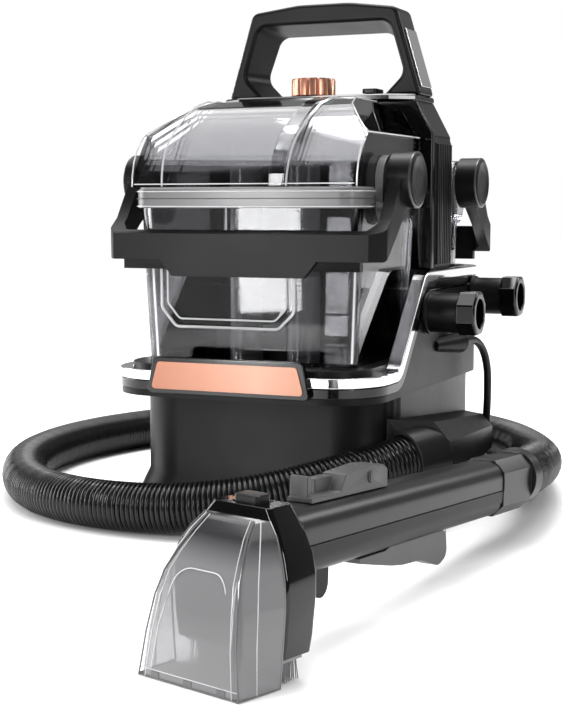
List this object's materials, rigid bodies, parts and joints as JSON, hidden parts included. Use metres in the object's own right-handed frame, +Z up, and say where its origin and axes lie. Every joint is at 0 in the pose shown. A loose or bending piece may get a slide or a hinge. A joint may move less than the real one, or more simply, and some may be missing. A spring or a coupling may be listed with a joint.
{
  "type": "spot extractor",
  "caption": "Portable spot extractor with steam: front recovery tank and rear clean tank with swinging bails, carry handle, suction hose looped around it and a hand tool with clear nozzle.",
  "frame": {"origin": "on the floor, midway between the two bail pivot lines of the machine", "axes": "+Z up, +X to the machine's left-hand side seen from the front, -Y towards the front where the recovery tank is"},
  "size_m": [0.5228, 0.8539, 0.4285],
  "materials": {
    "black_plastic": "fine satin texture",
    "gloss_black": "gloss",
    "dark_grey": "satin",
    "mid_grey": "satin",
    "bright_trim": "polished",
    "copper_trim": "satin copper",
    "smoke_clear": "clear smoke",
    "grey_clear": "clear grey",
    "seal_rubber": "matte",
    "foot_rubber": "matte",
    "steel": "plain",
    "cast_aluminium": "cast",
    "hose_grey": "satin",
    "cord_black": "satin",
    "white_plastic": "satin",
    "bristle_grey": "bristle",
    "board_green": "solder mask"
  },
  "bodies": {
    "machine": {"base_shell": "black_plastic", "base_plate": "black_plastic", "rubber_feet": "foot_rubber", "base_screws": "steel", "rim_black": "gloss_black", "rim_chrome": "bright_trim", "badge_bezel": "gloss_black", "badge_plate": "copper_trim", "tank_tray": "black_plastic", "tank_valve": "dark_grey", "tower_cowl": "gloss_black", "tower_shell": "black_plastic", "rib_panels": "dark_grey", "control_deck": "gloss_black", "carry_handle": "black_plastic", "handle_strips": "bright_trim", "deck_switches": "black_plastic", "vacuum_motor": "steel", "fan_housing": "black_plastic", "water_pump": "black_plastic", "steam_heater": "cast_aluminium", "control_board": "board_green", "tool_posts": "black_plastic", "post_sockets": "gloss_black", "hose_port": "black_plastic", "hose_collar": "dark_grey", "hose": "hose_grey", "cord_gland": "cord_black", "power_cord": "cord_black", "power_cord_coil": "cord_black", "power_plug": "cord_black", "wand_upper": "mid_grey", "wand_lower": "dark_grey", "wand_tail": "mid_grey", "wand_air_tube": "mid_grey", "wand_solution_line": "white_plastic", "trigger_pin_spring": "steel"},
    "recovery_tank_unit": {"recovery_tank": "smoke_clear", "tank_collar": "dark_grey", "standpipes": "mid_grey", "separator_hood": "mid_grey"},
    "tank_lid_unit": {"tank_lid": "smoke_clear", "lid_gasket": "seal_rubber"},
    "float": {"tank_float": "white_plastic"},
    "front_bail_unit": {"front_bail": "black_plastic", "front_bail_caps": "dark_grey"},
    "clean_tank_unit": {"clean_tank": "smoke_clear"},
    "fill_cap_unit": {"fill_cap": "black_plastic"},
    "rear_bail_unit": {"rear_bail": "black_plastic", "rear_bail_caps": "dark_grey"},
    "valve_plunger_unit": {"valve_plunger": "seal_rubber"},
    "mode_knob_unit": {"mode_knob": "copper_trim"},
    "power_button_unit": {"power_button": "dark_grey"},
    "impeller": {"fan_impeller": "cast_aluminium"},
    "trigger_unit": {"trigger": "mid_grey"},
    "slider_unit": {"steam_slider": "dark_grey"},
    "nozzle_unit": {"nozzle_window": "grey_clear", "nozzle_body": "gloss_black", "nozzle_brush": "bristle_grey"},
    "release_button_unit": {"release_button": "dark_grey"}
  },
  "joints": [
    {"name": "recovery_tank_lift", "type": "slide", "parent": "machine", "child": "recovery_tank_unit", "axis": [0, -0.9, 0.436], "range_m": [0, 0.08]},
    {"name": "tank_lid_lift", "type": "slide", "parent": "recovery_tank_unit", "child": "tank_lid_unit", "axis": [0, -0.9, 0.436], "range_m": [0, 0.012]},
    {"name": "float_rise", "type": "slide", "parent": "recovery_tank_unit", "child": "float", "axis": [0, 0, 1], "range_m": [0, 0.034]},
    {"name": "front_bail_swing", "type": "hinge", "parent": "recovery_tank_unit", "child": "front_bail_unit", "pos_m": [0, -0.0916, 0.272], "axis": [-1, 0, 0], "range_deg": [0, 115]},
    {"name": "clean_tank_lift", "type": "slide", "parent": "machine", "child": "clean_tank_unit", "axis": [0, 0, 1], "range_m": [0, 0.09]},
    {"name": "rear_bail_swing", "type": "hinge", "parent": "clean_tank_unit", "child": "rear_bail_unit", "pos_m": [0, 0.0916, 0.272], "axis": [1, 0, 0], "range_deg": [0, 110]},
    {"name": "fill_cap_hinge", "type": "hinge", "parent": "clean_tank_unit", "child": "fill_cap_unit", "pos_m": [-0.03, 0.133, 0.3], "axis": [-1, 0, 0], "range_deg": [0, 100]},
    {"name": "valve_plunger_lift", "type": "slide", "parent": "machine", "child": "valve_plunger_unit", "axis": [0, 0, 1], "range_m": [0, 0.003], "stiffness_N_per_m": 200, "springref_m": -0.001},
    {"name": "mode_knob_turn", "type": "hinge", "parent": "machine", "child": "mode_knob_unit", "pos_m": [-0.009, 0.022, 0.356], "axis": [0, 0, 1], "range_deg": [-60, 60]},
    {"name": "power_button_press", "type": "slide", "parent": "machine", "child": "power_button_unit", "axis": [0, 0, -1], "range_m": [0, 0.002], "stiffness_N_per_m": 400, "springref_m": -0.001},
    {"name": "impeller_spin", "type": "hinge", "parent": "machine", "child": "impeller", "pos_m": [-0.045, 0.04, 0.07], "axis": [0, 0, 1], "continuous": true},
    {"name": "trigger_pull", "type": "hinge", "parent": "machine", "child": "trigger_unit", "pos_m": [0.19478, -0.26128, 0.03521], "axis": [-0.992, 0.126, 0], "range_deg": [0, 4], "stiffness_Nm_per_rad": 6, "springref_deg": -4.01},
    {"name": "steam_slider_slide", "type": "slide", "parent": "machine", "child": "slider_unit", "axis": [0.1258, 0.9904, -0.0578], "range_m": [0, 0.008]},
    {"name": "nozzle_pull_off", "type": "slide", "parent": "machine", "child": "nozzle_unit", "axis": [-0.1258, -0.9904, 0.0578], "range_m": [0, 0.04]},
    {"name": "release_button_press", "type": "slide", "parent": "nozzle_unit", "child": "release_button_unit", "axis": [0, 0, -1], "range_m": [0, 0.002], "stiffness_N_per_m": 300, "springref_m": -0.001}
  ]
}
